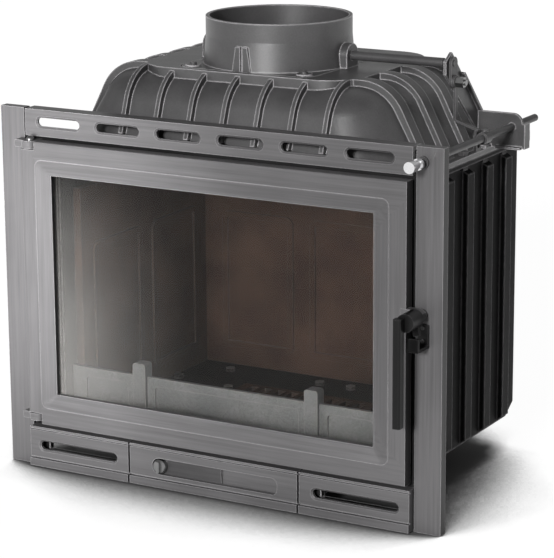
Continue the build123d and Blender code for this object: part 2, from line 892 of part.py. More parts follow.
# Bolts that hold the hood; one of them also holds the foot of the damper's bracket
hood_bolts = []
hood_nuts = []
for y in valley_centres:
    for side in (-1, 1):
        lift = bracket_foot if side > 0 and y == bracket_bolt_y else 0
        grip = 3 * flange_wall + lift
        hood_bolts.append(bolt_z(side * hood_bolt_x, y, flange_top + lift, grip))
        nut = slab_z(Pos(side * hood_bolt_x, y) * hexagon(nut_flats), body_top - nut_height, body_top)
        hood_nuts.append(nut - pin_z(side * hood_bolt_x, y, (body_top - 20, body_top + 1), bolt_radius))
for x in rear_bolt_places:
    hood_bolts.append(bolt_z(x, rear_bolt_y, flange_top, 2 * flange_wall + 4))

# Damper: shaft, flap, crank and the lever that the pull rod moves
def tilted(solid):
    """Turn about the shaft to the rest position, open by as much as the rod can still be pushed."""
    place = Pos(0, collar_y, shaft_z)
    return place * Rot(X=-degrees(push_travel * rad_per_mm)) * Pos(0, -collar_y, -shaft_z) * solid


shaft_left = -bearing_boss_reach - shaft_end_play
shaft_shoulder = gusset_x - shoulder_gap
crank_back = crank_x - crank_wall / 2
crank_front = crank_x + crank_wall / 2
shaft_end = crank_front + neck_rivet
damper_shaft = pin_x((shaft_left, shaft_shoulder), collar_y, shaft_z, shaft_radius)
damper_shaft += pin_x((shaft_shoulder, shaft_end), collar_y, shaft_z, neck_radius)
flap_screw_places = [-0.6 * flap_hub_half, 0, 0.6 * flap_hub_half]
flap_seat = shaft_z + flap_hub_radius
damper_flap = pin_z(0, collar_y, (flap_seat - flap_wall, flap_seat), flap_radius)
damper_flap += block(
    (-flap_hub_half, flap_hub_half),
    (collar_y - flap_hub_radius, collar_y + flap_hub_radius),
    (shaft_z, flap_seat),
)
damper_flap -= pin_x((shaft_left, shaft_shoulder), collar_y, shaft_z, shaft_radius)
flap_screws = []
for x in flap_screw_places:
    hole = pin_z(x, collar_y, (shaft_z - 1, flap_seat + 1), screw_radius)
    damper_flap -= hole
    damper_shaft -= tilted(hole)
    head = pin_z(x, collar_y, (flap_seat, flap_seat + screw_head_height), screw_head_radius)
    flap_screws.append(tilted(head + pin_z(x, collar_y, (shaft_z - 1, flap_seat), screw_radius)))
damper_flap = tilted(damper_flap)

crank_face = Pos(collar_y, shaft_z) * Circle(crank_radius)
crank_face += Pos(collar_y, lever_eye_z) * Circle(crank_radius)
crank_face += rectangle((collar_y - crank_radius, collar_y + crank_radius), (lever_eye_z, shaft_z))
damper_crank = slab_x(crank_face, crank_back, crank_front)
damper_crank -= pin_x((crank_back - 1, crank_front + 1), collar_y, shaft_z, neck_radius)
damper_crank -= pin_x((crank_back - 1, crank_front + 1), collar_y, lever_eye_z, lever_bolt_radius)

lever_side = (collar_y - lever_width / 2, collar_y + lever_width / 2)
tab_side = (collar_y - lever_tab_width / 2, collar_y + lever_tab_width / 2)
lever_low_reach = (shaft_z - rod_z) / cos(pull_travel * rad_per_mm)
lever_tip_z = shaft_z - lever_low_reach - pin_radius - slot_play - lever_tab_edge
bend_path = outline(
    (crank_front, lever_eye_z),
    (crank_front, lever_bend_z),
    (lever_tab_x, lever_shoulder_z),
    (lever_tab_x, lever_tip_z),
    (lever_tab_x + lever_wall, lever_tip_z),
    (lever_tab_x + lever_wall, lever_shoulder_z + lever_wall / 2),
    (crank_front + lever_wall, lever_bend_z + lever_wall / 2),
    (crank_front + lever_wall, lever_eye_z),
)
damper_lever = slab_y(bend_path, *lever_side)
lever_tab = rectangle((lever_tab_x, lever_tab_x + lever_wall), (lever_tip_z, lever_shoulder_z))
damper_lever += slab_y(lever_tab, *tab_side)
eye_face = Pos(collar_y, lever_eye_z) * Circle(crank_radius)
damper_lever += slab_x(eye_face, crank_front, crank_front + lever_wall)
slot_low = shaft_z - lever_low_reach
slot_middle = (slot_low + rod_z) / 2
slot_face = Pos(collar_y, slot_middle) * Rot(Z=90) * SlotOverall(
    rod_z - slot_low + 2 * pin_radius + 2 * slot_play, 2 * (pin_radius + slot_play)
)
damper_lever -= slab_x(slot_face, lever_tab_x - 1, lever_tab_x + lever_wall + 1)
lever_seat = crank_front + lever_wall
damper_lever -= pin_x((crank_front - 1, lever_seat + 1), collar_y, lever_eye_z, lever_bolt_radius)

lever_bolt = pin_x((crank_back, lever_seat + 2.5 * nut_height), collar_y, lever_eye_z, lever_bolt_radius)
damper_nuts = []
for seat in (lever_seat, lever_seat + nut_height):
    nut = slab_x(Pos(collar_y, lever_eye_z) * hexagon(nut_flats), seat, seat + nut_height)
    damper_nuts.append(nut - lever_bolt)

# Pull rod, its knob and the clamp whose pin runs in the lever's slot
rod_back = leaf_y + rod_tail
ring_front = rod_front + ring_setback
ring_back = ring_front + ring_wall
damper_rod = pin_y(rod_x, (rod_front, rod_back), rod_z, rod_radius)
rod_knob = pin_y(rod_x, (rod_front - knob_length, rod_front), rod_z, knob_radius)
rod_knob += pin_y(rod_x, (rod_front, ring_back), rod_z, knob_neck_radius)
rod_knob += pin_y(rod_x, (ring_front, ring_back), rod_z, knob_radius)
rod_knob -= damper_rod
clamp_pin_end = lever_tab_x - 3
rod_clamp = pin_y(rod_x, (collar_y - clamp_half, collar_y + clamp_half), rod_z, clamp_radius)
rod_clamp += pin_x((clamp_pin_end, rod_x), collar_y, rod_z, pin_radius)
rod_clamp -= damper_rod
clamp_screw_top = rod_z + clamp_radius + screw_head_height
clamp_screw = pin_z(rod_x, collar_y, (rod_z, clamp_screw_top), screw_radius)
clamp_screw += pin_z(rod_x, collar_y, (rod_z + clamp_radius, clamp_screw_top), screw_head_radius)
rod_clamp -= clamp_screw
damper_rod -= pin_z(rod_x, collar_y, (rod_z, clamp_screw_top), screw_radius)

# Bracket: a gusset that carries the shaft's end, a leaf that carries the rod, and a foot
gusset = (gusset_x - gusset_wall / 2, gusset_x + gusset_wall / 2)
leaf_front = leaf_y - leaf_wall
gusset_low = leaf_top - leaf_drop
gusset_peak = (collar_y + gusset_tip, shaft_z + gusset_eye)
gusset_face = outline(
    (collar_y - gusset_eye, shaft_z + gusset_tip),
    gusset_peak,
    (leaf_y, leaf_top),
    (leaf_y, gusset_low),
    (collar_y - gusset_eye, shaft_z - gusset_eye),
)
leaf_left = gusset[1] + 3
leaf_face = outline(
    (gusset[0], gusset_low),
    (leaf_left, gusset_low),
    (leaf_left, flange_top),
    (leaf_right, flange_top),
    (leaf_right, leaf_top),
    (gusset[0], leaf_top),
)
lip_run = leaf_y - gusset_peak[0]
lip_fall = gusset_peak[1] - leaf_top
lip_start = (gusset_peak[0] + lip_run / 3, gusset_peak[1] - lip_fall / 3)
lip_step = gusset_lip_wall / hypot(lip_run, lip_fall)
lip_face = outline(
    lip_start,
    (leaf_y, leaf_top),
    (leaf_y - lip_step * lip_fall, leaf_top - lip_step * lip_run),
    (lip_start[0] - lip_step * lip_fall, lip_start[1] - lip_step * lip_run),
)
leaf_face = fillet(leaf_face.vertices().sort_by(Axis.Y)[-2:].sort_by(Axis.X)[-1], leaf_corner)
damper_bracket = slab_x(gusset_face, *gusset) + slab_y(leaf_face, leaf_front, leaf_y)
damper_bracket += slab_x(lip_face, gusset[0], gusset[1] + gusset_lip)
damper_bracket += block(
    (flange_half + leaf_lip, leaf_right),
    (leaf_front - leaf_lip, leaf_front),
    (flange_top, flange_top + leaf_lip_wall),
)
damper_bracket += block(
    (leaf_right, leaf_right + leaf_wall),
    (leaf_front, leaf_y + leaf_rim),
    (flange_top, leaf_top - leaf_corner),
)
damper_bracket += block(
    (leaf_left, flange_half),
    (bracket_bolt_y - bracket_foot_front, leaf_y),
    (flange_top, flange_top + bracket_foot),
)
damper_bracket -= pin_z(
    hood_bolt_x, bracket_bolt_y, (flange_top - 1, flange_top + bracket_foot + 1), bolt_radius
)
damper_bracket -= pin_x((gusset[0] - 1, gusset[1] + 1), collar_y, shaft_z, neck_radius + running_gap)
damper_bracket -= pin_y(rod_x, (leaf_front - 1, leaf_y + 1), rod_z, rod_radius + running_gap)

# Door frame with a mitred bezel, the glass and its seal, the clips and the rope gasket
bezel_floor = door_front + bezel_depth
glass_back = door_back
glass_front = glass_back - glass_wall
glass_seat = glass_front - glass_seal


def door_rectangle(grow):
    """The glass opening, grown on every side."""
    return rectangle((-glass_half - grow, glass_half + grow), (glass_low - grow, glass_high + grow))


def door_inset(inset):
    """The door's outline, set in on every side."""
    return rectangle((-door_half + inset, door_half - inset), (door_bottom + inset, door_top - inset))


frame_face = door_front + bezel_bead
door_frame = block((-door_half, door_half), (frame_face, door_back), (door_bottom, door_top))
hinge_edges = door_frame.edges().filter_by(Axis.Z).sort_by(Axis.X)[:2].sort_by(Axis.Y)[:1]
door_frame = fillet(hinge_edges, door_edge_round)
front_edges = door_frame.faces().sort_by(Axis.Y)[0].edges().filter_by(Axis.X)
door_frame = fillet(front_edges, edge_round)
bead_outline = door_inset(bezel_outer - bezel_crest)
bead_outline = fillet(bead_outline.vertices(), bezel_corner + bezel_crest)
bezel_outline = door_inset(bezel_outer)
bezel_outline = fillet(bezel_outline.vertices(), bezel_corner)
bezel_inner = door_rectangle(bezel_land)
bezel_inner = fillet(bezel_inner.vertices(), bezel_land)
door_frame += slab_y(bead_outline, door_front, frame_face)
door_frame -= loft([across_y(door_front) * bezel_outline, across_y(bezel_floor) * bezel_inner], ruled=True)
door_frame -= slab_y(door_rectangle(0), door_front - 1, door_back + 1)
door_frame -= slab_y(door_rectangle(glass_lap + glass_gap), glass_seat, door_back + 1)
groove_floor = door_back - gasket_groove
gasket_ring = door_inset(gasket_outer) - door_inset(gasket_inner)
door_frame -= slab_y(gasket_ring, groove_floor, door_back + 1)
ear_face = Pos(ear_x, ear_z) * Circle(ear_radius)
ear_face += rectangle((door_half - ear_radius + 2, ear_x), (ear_z - ear_radius, ear_z + ear_radius))
door_frame += slab_y(ear_face, ear_front, ear_back)
door_frame -= pin_y(ear_x, (ear_front - 1, ear_back + 1), ear_z, spindle_radius + running_gap)
low_block = (door_bottom + hinge_low_rise, door_bottom + hinge_low_rise + hinge_height)
high_block = (door_top - hinge_height, door_top)
notch_side = -hinge_x + hinge_notch
low_notch_top = low_block[1] + hinge_clearance
high_notch_low = high_block[0] - hinge_clearance
notch_x = (-door_half - 1, notch_side)
notch_y = (door_front - 1, door_back + 1)
door_frame -= block(notch_x, notch_y, (door_bottom - 1, low_notch_top))
door_frame -= block(notch_x, notch_y, (high_notch_low, door_top + 1))
low_pin = (low_block[0] - 1, low_notch_top + pin_depth)
high_pin = (high_notch_low - pin_depth, high_block[1] + 1)
for level in (low_pin, high_pin):
    door_frame -= pin_z(-hinge_x, hinge_y, level, hinge_pin_radius + running_gap)

door_glass = slab_y(door_rectangle(glass_lap), glass_front, glass_back)
glass_seal_ring = door_rectangle(glass_lap - glass_ring_gap) - door_rectangle(glass_ring_gap)
glass_gasket = slab_y(glass_seal_ring, glass_seat, glass_front)
door_gasket = slab_y(gasket_ring, groove_floor, plate_front - seal_gap)

retainer_inner = glass_lap - retainer_lap
retainer_outer = glass_lap + glass_gap + retainer_land
retainer_screw = glass_lap + glass_gap + retainer_land / 2
retainer_back = door_back + retainer_wall
retainer_face = door_rectangle(retainer_outer) - door_rectangle(retainer_inner)
glass_retainer = slab_y(retainer_face, door_back, retainer_back)
retainer_places = []
for side in (-1, 1):
    for share in (0.1, 0.5, 0.9):
        level = glass_low + share * (glass_high - glass_low)
        retainer_places.append((side * (glass_half + retainer_screw), level))
for share in (-0.7, 0, 0.7):
    for level in (glass_low - retainer_screw, glass_high + retainer_screw):
        retainer_places.append((share * glass_half, level))
retainer_screws = []
for x, z in retainer_places:
    shank = pin_y(x, (door_back - retainer_screw_bite, retainer_back), z, small_screw_radius)
    door_frame -= shank
    glass_retainer -= shank
    head = pin_y(x, (retainer_back, retainer_back + small_head_height), z, small_head_radius)
    retainer_screws.append(shank + head)

# Hinge blocks on the front plate, and the pins that the door turns on
hinge_blocks = []
for low, high in (low_block, high_block):
    hinge_block = block(
        (-hinge_x - hinge_knuckle, -hinge_x + hinge_knuckle), (door_front, plate_front), (low, high)
    )
    front_corners = hinge_block.edges().filter_by(Axis.Z).sort_by(Axis.Y)[:2]
    hinge_block = fillet(front_corners, hinge_round)
    hinge_block -= pin_z(-hinge_x, hinge_y, (low - 1, high + 1), hinge_pin_radius)
    middle = (low + high) / 2
    hinge_block -= pin_y(-hinge_x, (plate_front - hinge_screw_bite, plate_front + 1), middle, screw_radius)
    front_plate -= pin_y(-hinge_x, (plate_front - 1, plate_back + 1), middle, screw_radius)
    surround_screws.append(screw_y(-hinge_x, middle, plate_back, plate_wall + hinge_screw_bite))
    hinge_blocks.append(hinge_block)
washer_height = hinge_clearance - running_gap
washer_radius = hinge_pin_radius + hinge_collar
low_hinge_pin = pin_z(-hinge_x, hinge_y, (low_block[0], low_notch_top + pin_depth - 1), hinge_pin_radius)
low_hinge_pin += pin_z(-hinge_x, hinge_y, (low_block[1], low_block[1] + washer_height), washer_radius)
high_hinge_pin = pin_z(-hinge_x, hinge_y, (high_notch_low - pin_depth + 1, high_block[1]), hinge_pin_radius)
dome = Pos(-hinge_x, hinge_y, high_block[1]) * Sphere(washer_radius - 0.5)
dome_level = (high_block[1], high_block[1] + washer_radius)
high_hinge_pin += dome & pin_z(-hinge_x, hinge_y, dome_level, washer_radius)
hinge_pins = [low_hinge_pin, high_hinge_pin]

# Handle: a hub with its latch finger, the grip, and the clip that keeps the spindle in its ear
hub_front = grip_front + grip_depth
grip_x = ear_x - grip_inset
grip_low = ear_z - grip_drop
grip_high = ear_z + grip_rise
finger_back = ear_front - finger_setback
spindle_back = ear_back + spindle_tail
handle_hub = pin_y(ear_x, (hub_front, ear_front - running_gap), ear_z, hub_radius)
handle_hub += pin_y(ear_x, (ear_front - 1, spindle_back), ear_z, spindle_radius)
finger_face = rectangle((0, finger_reach), (-finger_width / 2, finger_width / 2))
finger_face = Pos(ear_x, ear_z) * Rot(Z=finger_angle) * finger_face
handle_hub += slab_y(finger_face, finger_back - finger_wall, finger_back)
spindle_groove = (spindle_back - 2.2, spindle_back - 0.7)
spindle_clip = pin_y(ear_x, spindle_groove, ear_z, spindle_radius + 3)
spindle_core = pin_y(ear_x, spindle_groove, ear_z, spindle_radius - 1)
handle_hub -= pin_y(ear_x, spindle_groove, ear_z, spindle_radius) - spindle_core
spindle_clip -= spindle_core
grip_face = rectangle((grip_x - grip_width / 2, grip_x + grip_width / 2), (grip_low, grip_high))
handle_grip = slab_y(grip_face, grip_front, hub_front)
handle_grip = fillet(handle_grip.edges().filter_by(Axis.Z), grip_round)
grip_screw_y = (hub_front - grip_screw_depth, hub_front + grip_screw_bite)
grip_screw = pin_y(grip_x, grip_screw_y, ear_z, screw_radius)
handle_hub -= grip_screw
handle_grip -= grip_screw

# Keeper on the right strip, under the latch finger: a base, a floor and an upturned lip
keeper_left = ear_x - keeper_inset
keeper_right = keeper_left + keeper_width
keeper_low = ear_z - keeper_drop
keeper_high = ear_z - keeper_rise
finger_fall = finger_reach * sin(radians(-finger_angle)) + finger_width / 2 * cos(radians(finger_angle))
keeper_lip_top = ear_z - finger_fall - keeper_gap
keeper_x = (keeper_left, keeper_right)
latch_keeper = block(keeper_x, (-keeper_wall, 0), (keeper_low, keeper_high))
latch_keeper += block(keeper_x, (keeper_front, 0), (keeper_low, keeper_low + keeper_wall))
latch_keeper += block(keeper_x, (keeper_front, keeper_front + keeper_wall), (keeper_low, keeper_lip_top))
keeper_screw_x = (keeper_left + keeper_right) / 2
keeper_screw_levels = (keeper_low + 2 * keeper_wall + 1, keeper_high - keeper_wall)
keeper_screws = []
for z in keeper_screw_levels:
    shank = pin_y(keeper_screw_x, (-keeper_wall, surround_wall), z, small_screw_radius)
    head = pin_y(keeper_screw_x, (-keeper_wall - small_head_height, -keeper_wall), z, small_head_radius)
    latch_keeper -= shank
    right_trim -= shank
    keeper_screws.append(shank + head)

# Ash drawer: its front with the air track, and the pan behind it
track_half = track_height / 2
slider_knob_x = track_left + track_half
track_zone = rectangle((slider_knob_x, track_right), (track_level - track_half, track_level + track_half))
track_zone = fillet(track_zone.vertices().sort_by(Axis.X)[-2:], track_corner)
track_zone += Pos(slider_knob_x, track_level) * Circle(track_half)
slider_half = track_half + slider_lap
slider_low = track_level - slider_half
slider_high = track_level + slider_half
slider_front = panel_back + slide_gap
slider_back = slider_front + slider_wall
inlet_front = slider_back + slide_gap
inlet_back = inlet_front + inlet_wall
inlet_low = slider_low - slide_gap
inlet_high = slider_high + slide_gap
drawer_half = panel_split - panel_seam / 2
drawer_x = (-drawer_half, drawer_half)
ash_front = slab_x(lower_profile(inlet_back), *drawer_x)
ash_front += block(drawer_x, (panel_back, inlet_back), (lip_lift, inlet_low))
ash_front += block(drawer_x, (panel_back, inlet_back), (inlet_high, panel_top))
ash_front += block(drawer_x, (inlet_front, inlet_back), (inlet_low, inlet_high))
ash_front -= slab_y(track_zone, panel_front - 1, panel_back + 0.01)
for k in range(inlet_hole_count):
    x = track_left + inlet_margin + inlet_hole_length / 2 + k * (inlet_hole_length + inlet_hole_gap)
    hole = Pos(x, track_level) * SlotOverall(inlet_hole_length, inlet_hole_height)
    ash_front -= slab_y(hole, inlet_front - 1, inlet_back + 1)
pan_half = ash_inner - pan_gap
pan_low = ash_wall + slide_gap
pan_high = base_low - pan_drop
pan_back = ash_back - ash_wall - pan_end_gap
pan_inside = (-pan_half + pan_wall, pan_half - pan_wall)
ash_pan = block((-pan_half, pan_half), (inlet_back, pan_back), (pan_low, pan_high))
ash_pan -= block(pan_inside, (inlet_back + pan_wall, pan_back - pan_wall), (pan_low + pan_wall, pan_high + 1))
ash_pan -= block(pan_inside, (inlet_back - 1, inlet_back + pan_wall + 1), (inlet_low, pan_high + 1))
rivet_level = (pan_low + pan_wall + inlet_low) / 2 + 0.5
pan_rivets = []
for x in (-0.7 * pan_half, 0, 0.7 * pan_half):
    shank = pin_y(x, (inlet_back - 3, inlet_back + pan_wall), rivet_level, small_screw_radius)
    ash_front -= shank
    ash_pan -= shank
    head_y = (inlet_back + pan_wall, inlet_back + pan_wall + small_head_height)
    pan_rivets.append(shank + pin_y(x, head_y, rivet_level, small_head_radius))

# Air slider: a plate in the track and its knob
slider_reach_left = track_left - slider_end_lap
slider_knob_front = panel_front - slider_knob_proud
air_slider = block((slider_reach_left, slider_right), (slider_front, slider_back), (slider_low, slider_high))
slider_knob = pin_y(slider_knob_x, (slider_knob_front, slider_front), track_level, slider_knob_radius)
knob_edge = slider_knob.edges().filter_by(GeomType.CIRCLE).sort_by(Axis.Y)[0]
slider_knob = chamfer(knob_edge, 1.5)
slider_knob += block(
    (slider_knob_x - slider_ridge_width / 2, slider_knob_x + slider_ridge_width / 2),
    (slider_knob_front - slider_ridge, slider_knob_front + 1),
    (track_level - 0.8 * slider_knob_radius, track_level + 0.8 * slider_knob_radius),
)
knob_stem = pin_y(slider_knob_x, (slider_front, slider_back), track_level, screw_radius)
slider_knob += knob_stem
air_slider -= knob_stem

# Firebox furniture: linings, baffle, grate and log guard
lining_x = (wall_inner - lining_wall, wall_inner)
lining_back = rear_inner - lining_wall
baffle_slope = (baffle_high - baffle_low) / (lining_back - baffle_front)
baffle_end = baffle_low - baffle_slope * (rear_inner - lining_back)
baffle_rise = baffle_wall / cos(atan(baffle_slope))
lining_side = outline(
    (lining_front, base_top), (lining_back, base_top), (lining_back, baffle_low),
    (baffle_front, baffle_high), (lining_front, baffle_high),
)
right_lining = slab_x(lining_side, *lining_x)
relief_low = base_top + relief_margin
relief_high = baffle_low - relief_margin
relief_width = (lining_back - lining_front - 3 * relief_margin) / 2
for k in range(2):
    left_edge = lining_front + relief_margin + k * (relief_width + relief_margin)
    relief = rectangle((left_edge, left_edge + relief_width), (relief_low, relief_high))
    relief = fillet(relief.vertices(), relief_round) - offset(relief, -relief_band)
    right_lining += slab_x(relief, lining_x[0] - relief_height, lining_x[0])
left_lining = mirrored(right_lining)

rear_lining_side = outline(
    (lining_back, base_top), (base_rear_high, base_top), (rear_inner, slant_level(rear_inner)),
    (rear_inner, baffle_end), (lining_back, baffle_low),
)
rear_lining = slab_x(rear_lining_side, -wall_inner, wall_inner)
panel_count = 3
rear_clear = lining_x[0] - relief_height
rear_width = (2 * rear_clear - (panel_count + 1) * relief_margin) / panel_count
for k in range(panel_count):
    left_edge = -rear_clear + relief_margin + k * (rear_width + relief_margin)
    relief = rectangle((left_edge, left_edge + rear_width), (relief_low, relief_high - 10))
    relief = fillet(relief.vertices(), relief_round) - offset(relief, -relief_band)
    rear_lining += slab_y(relief, lining_back - relief_height, lining_back)

baffle_side = outline(
    (baffle_front, baffle_high), (rear_inner, baffle_end),
    (rear_inner, baffle_end + baffle_rise), (baffle_front, baffle_high + baffle_rise),
)
baffle_plate = slab_x(baffle_side, -wall_inner + baffle_play, wall_inner - baffle_play)

fire_grate = block((-grate_half, grate_half), (grate_front, grate_back), (base_top, base_top + grate_wall))
grate_slots = int(2 * (grate_half - grate_bar) / (grate_bar + grate_gap))
grate_middle = (grate_front + grate_back) / 2
grate_rows = [
    (grate_front + grate_bar, grate_middle - grate_bar / 2),
    (grate_middle + grate_bar / 2, grate_back - grate_bar),
]
for k in range(grate_slots):
    x = (k - (grate_slots - 1) / 2) * (grate_bar + grate_gap)
    for row in grate_rows:
        fire_grate -= block(
            (x - grate_gap / 2, x + grate_gap / 2), row, (base_top - 1, base_top + grate_wall + 1)
        )

guard_back = guard_y + guard_wall
log_guard = block((-guard_half, guard_half), (guard_y, guard_back), (base_top, guard_top))
guard_edges = [-guard_half, -post_x, post_x, guard_half]
for left_edge, right_edge in zip(guard_edges, guard_edges[1:]):
    margin = post_width / 2 + guard_border
    hollow = rectangle(
        (left_edge + margin, right_edge - margin), (base_top + guard_border, guard_top - guard_border)
    )
    hollow = fillet(hollow.vertices(), guard_border / 2)
    log_guard -= slab_y(hollow, guard_y - 1, guard_y + guard_recess)
for x in (-post_x, post_x):
    post = rectangle((x - post_width / 2, x + post_width / 2), (base_top, post_top))
    post = fillet(post.vertices().sort_by(Axis.Y)[-2:], post_width / 5)
    log_guard += slab_y(post, guard_y - post_proud, guard_back + post_proud)
    log_guard += block(
        (x - post_width / 2, x + post_width / 2),
        (guard_back, guard_back + guard_foot),
        (base_top, base_top + guard_foot_wall),
    )

# Everything is moved back so that the whole insert is centred over its own base
nodes = {
    "front_plate": front_plate,
    "left_trim": left_trim,
    "right_trim": right_trim,
    "top_grille": top_grille,
    "lower_left_grille": lower_left_grille,
    "lower_right_grille": lower_right_grille,
    "surround_screws": surround_screws,
    "rod_bush": rod_bush,
    "hinge_blocks": hinge_blocks,
    "hinge_pins": hinge_pins,
    "latch_keeper": latch_keeper,
    "keeper_screws": keeper_screws,
    "left_side_wall": left_side_wall,
    "right_side_wall": right_side_wall,
    "rear_wall": rear_wall,
    "base_plate": base_plate,
    "ash_chamber": ash_chamber,
    "floor_bolts": floor_bolts,
    "plate_bolts": plate_bolts,
    "hood": hood,
    "hood_bolts": hood_bolts,
    "hood_nuts": hood_nuts,
    "flue_collar": flue_collar,
    "collar_screws": collar_screws,
    "damper_bracket": damper_bracket,
    "left_lining": left_lining,
    "right_lining": right_lining,
    "rear_lining": rear_lining,
    "baffle_plate": baffle_plate,
    "fire_grate": fire_grate,
    "log_guard": log_guard,
    "door_frame": door_frame,
    "door_glass": door_glass,
    "glass_gasket": glass_gasket,
    "glass_retainer": glass_retainer,
    "retainer_screws": retainer_screws,
    "door_gasket": door_gasket,
    "handle_hub": handle_hub,
    "handle_grip": handle_grip,
    "grip_screw": grip_screw,
    "spindle_clip": spindle_clip,
    "ash_front": ash_front,
    "ash_pan": ash_pan,
    "pan_rivets": pan_rivets,
    "air_slider": air_slider,
    "slider_knob": slider_knob,
    "damper_rod": damper_rod,
    "rod_knob": rod_knob,
    "rod_clamp": rod_clamp,
    "clamp_screw": clamp_screw,
    "damper_shaft": damper_shaft,
    "damper_flap": damper_flap,
    "flap_screws": flap_screws,
    "damper_crank": damper_crank,
    "damper_lever": damper_lever,
    "lever_bolt": lever_bolt,
    "damper_nuts": damper_nuts,
}
frontmost = grip_front
rearmost = body_back + rib_height
shift = Pos(0, -(frontmost + rearmost) / 2, 0)
os.makedirs("parts", exist_ok=True)
for name, solids in nodes.items():
    if isinstance(solids, list):
        solids = Compound(solids)
    export_step(shift * solids, f"parts/{name}.step")
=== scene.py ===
import json
import math

import bmesh
import bpy
from mathutils import Euler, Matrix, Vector


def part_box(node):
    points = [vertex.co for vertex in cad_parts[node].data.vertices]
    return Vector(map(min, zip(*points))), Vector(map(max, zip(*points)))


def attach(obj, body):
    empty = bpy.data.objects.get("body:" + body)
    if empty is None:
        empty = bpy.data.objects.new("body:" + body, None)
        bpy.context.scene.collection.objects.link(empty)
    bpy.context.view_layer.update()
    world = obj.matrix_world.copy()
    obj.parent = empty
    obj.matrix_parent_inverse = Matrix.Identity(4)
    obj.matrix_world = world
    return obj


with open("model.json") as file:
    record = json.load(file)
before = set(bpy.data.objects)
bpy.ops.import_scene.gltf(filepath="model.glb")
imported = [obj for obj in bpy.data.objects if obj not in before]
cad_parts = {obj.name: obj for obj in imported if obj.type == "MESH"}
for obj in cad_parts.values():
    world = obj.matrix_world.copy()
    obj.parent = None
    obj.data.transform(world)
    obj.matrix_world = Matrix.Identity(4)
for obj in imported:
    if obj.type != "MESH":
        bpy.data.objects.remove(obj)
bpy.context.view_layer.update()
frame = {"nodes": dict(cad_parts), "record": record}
nodes = frame["nodes"]
bpy.context.scene.view_settings.view_transform = "Standard"

# Camera: solved from the straight edges of the surround in the photograph
CAMERA_PLACE = (1.6155, -2.8658, 1.0971)
CAMERA_TURN = (75.786, 0.369, 29.330)
CAMERA_LENS = 158.08

camera_data = bpy.data.cameras.new("camera")
camera_data.lens = CAMERA_LENS
camera_data.sensor_width = 36
camera = bpy.data.objects.new("camera", camera_data)
camera.location = CAMERA_PLACE
camera.rotation_euler = Euler([math.radians(a) for a in CAMERA_TURN])
bpy.context.scene.collection.objects.link(camera)
bpy.context.scene.camera = camera


# Node helpers
def new_material(name):
    material = bpy.data.materials.new(name)
    material.use_nodes = True
    tree = material.node_tree
    tree.nodes.clear()
    output = tree.nodes.new("ShaderNodeOutputMaterial")
    shader = tree.nodes.new("ShaderNodeBsdfPrincipled")
    tree.links.new(shader.outputs["BSDF"], output.inputs["Surface"])
    return material, tree, shader


def add_node(tree, kind, inputs=None, **settings):
    node = tree.nodes.new("ShaderNode" + kind)
    for key, value in settings.items():
        setattr(node, key, value)
    for key, value in (inputs or {}).items():
        socket = node.inputs[key]
        if isinstance(value, bpy.types.NodeSocket):
            tree.links.new(value, socket)
        else:
            socket.default_value = value
    return node


def maths(tree, operation, first, second=0.0):
    return add_node(tree, "Math", {0: first, 1: second}, operation=operation).outputs["Value"]


def object_place(tree, stretch=(1, 1, 1)):
    """Coordinates in metres in the row's frame, stretched along each axis."""
    place = add_node(tree, "TexCoord")
    mapping = add_node(tree, "Mapping", {"Vector": place.outputs["Object"], "Scale": stretch})
    return mapping.outputs["Vector"]


def noise(tree, scale, detail=3, rough=0.5, stretch=(1, 1, 1)):
    vector = object_place(tree, stretch)
    settings = {"Vector": vector, "Scale": scale, "Detail": detail, "Roughness": rough}
    return add_node(tree, "TexNoise", settings).outputs["Fac"]


def ramp(tree, value, low, high, from_low=0.0, from_high=1.0):
    node = add_node(
        tree,
        "MapRange",
        {"Value": value, "From Min": from_low, "From Max": from_high, "To Min": low, "To Max": high},
    )
    return node.outputs["Result"]


def mix_numbers(tree, factor, first, second):
    return add_node(tree, "Mix", {0: factor, 2: first, 3: second}, data_type="FLOAT").outputs[0]


def mix_colour(tree, factor, first, second, mode="MIX"):
    node = add_node(tree, "Mix", data_type="RGBA", blend_type=mode)
    sockets = [s for s in node.inputs if s.enabled]
    for socket, value in zip(sockets, (factor, first, second)):
        if isinstance(value, bpy.types.NodeSocket):
            tree.links.new(value, socket)
        else:
            socket.default_value = value
    return [s for s in node.outputs if s.enabled][0]


def grey(level):
    """A grey with the photograph's slightly violet cast."""
    return (level, level * 0.975, level, 1)


def sharp_edge_mask(tree, radius):
    """1 on sharp edges and 0 on flats, from the angle between the face and its rounded normal. It places
    the worn edges and the painted edge highlights.
    """
    rounded = add_node(tree, "Bevel", {"Radius": radius}, samples=4)
    geometry = add_node(tree, "NewGeometry")
    dot = add_node(
        tree,
        "VectorMath",
        {0: rounded.outputs["Normal"], 1: geometry.outputs["Normal"]},
        operation="DOT_PRODUCT",
    )
    return ramp(tree, dot.outputs["Value"], 1, 0, *EDGE_FACING)


def add_bump(tree, shader, height, strength, depth):
    bump = add_node(tree, "Bump", {"Height": height, "Strength": strength, "Distance": depth})
    tree.links.new(bump.outputs["Normal"], shader.inputs["Normal"])


# Finishes
EDGE_FACING = (0.86, 0.995)
STREAK_SCALE = 260
STREAK_STRETCH = 0.02
# Painted shade on the faces of the plates turned to the sides
SIDE_FACING = 0.85
SIDE_SHADE_TONE = grey(0.02)
# Painted highlight on the edges of the ground plates
EDGE_HIGHLIGHT_TONE = grey(0.5)
EDGE_HIGHLIGHT_RADIUS = 0.0014
GROUND_METALLIC = 0.35


